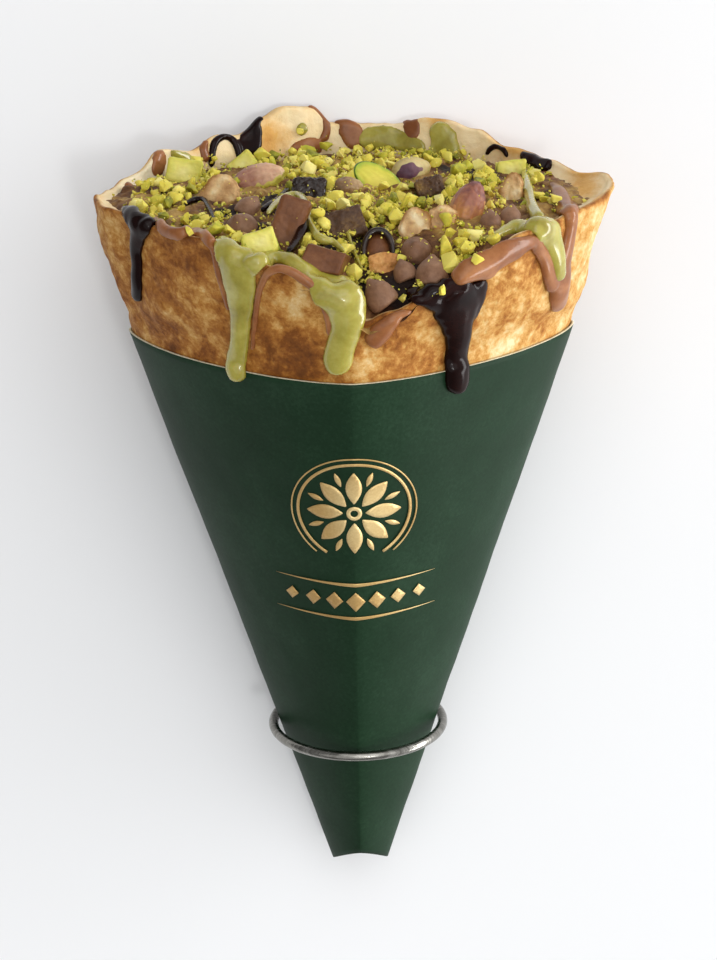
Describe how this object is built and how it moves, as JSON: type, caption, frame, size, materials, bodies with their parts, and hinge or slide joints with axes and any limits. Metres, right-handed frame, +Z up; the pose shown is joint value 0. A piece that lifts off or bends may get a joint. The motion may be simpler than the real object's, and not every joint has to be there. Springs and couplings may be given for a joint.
{
  "type": "filled crepe cone in a card sleeve",
  "caption": "Filled crepe cone in a dark card sleeve with a steel ring, topped with chopped pistachio, chocolate pieces and thick sauces, lying on its back.",
  "frame": {"origin": "centre of the bounding box at the surface the cone lies on", "axes": "+Y along the cone from its tip towards its filled mouth, tilted up a little, +Z up through its front, +X to the right of its front"},
  "size_m": [0.1492, 0.2342, 0.1282],
  "materials": {
    "card": "dark green matt coated card, pale cut edge",
    "steel": "polished round wire",
    "crepe": "golden baked pancake mottled with brown, paler inside",
    "chopped_pistachio": "chopped pistachio and crumbs over the filling",
    "kernel_green": "cut pistachio kernel, yellow green",
    "kernel_skin": "pistachio kernel in its pinkish skin",
    "chip_chocolate": "matt baking chocolate",
    "milk_chocolate": "broken milk chocolate",
    "dark_chocolate": "glossy dark chocolate",
    "crepe_scrap": "torn pancake and wafer scraps",
    "pistachio_sauce": "thick glossy pistachio cream",
    "milk_sauce": "thick milk chocolate sauce",
    "dark_sauce": "very glossy dark chocolate sauce"
  },
  "bodies": {
    "root": {"chip_end_on": "chip_chocolate", "chip_left_inner": "chip_chocolate", "chip_left_outer": "chip_chocolate", "chip_low": "chip_chocolate", "chip_right_inner": "chip_chocolate", "chip_right_outer": "chip_chocolate", "chip_tilted": "chip_chocolate", "chip_upright": "chip_chocolate", "chunk_crumbly": "milk_chocolate", "chunk_curl": "dark_chocolate", "chunk_dark_back": "dark_chocolate", "chunk_half_shell": "milk_chocolate", "chunk_specked": "milk_chocolate", "chunk_square": "milk_chocolate", "crepe_wrap": "crepe", "dark_dollop_back": "dark_sauce", "dark_drip_front": "dark_sauce", "dark_drip_left": "dark_sauce", "dark_patch_back": "dark_sauce", "filling": "chopped_pistachio", "kernel_brown": "kernel_skin", "kernel_cube_left": "kernel_green", "kernel_cube_right": "kernel_green", "kernel_green_large": "kernel_green", "kernel_half_back": "kernel_green", "kernel_half_front": "kernel_green", "kernel_pink_left": "kernel_skin", "kernel_purple": "kernel_skin", "kernel_standing": "kernel_skin", "milk_band_left": "milk_sauce", "milk_band_right": "milk_sauce", "milk_drip_right": "milk_sauce", "milk_tongue": "milk_sauce", "pistachio_dollop_back": "pistachio_sauce", "pistachio_drip_centre": "pistachio_sauce", "pistachio_drip_left": "pistachio_sauce", "pistachio_drip_right": "pistachio_sauce", "scrap_amber": "crepe_scrap", "scrap_beige": "crepe_scrap", "scrap_browned": "crepe_scrap", "scrap_cream": "crepe_scrap", "scrap_peach": "crepe_scrap", "sleeve": "card", "steel_ring": "steel"}
  },
  "joints": []
}
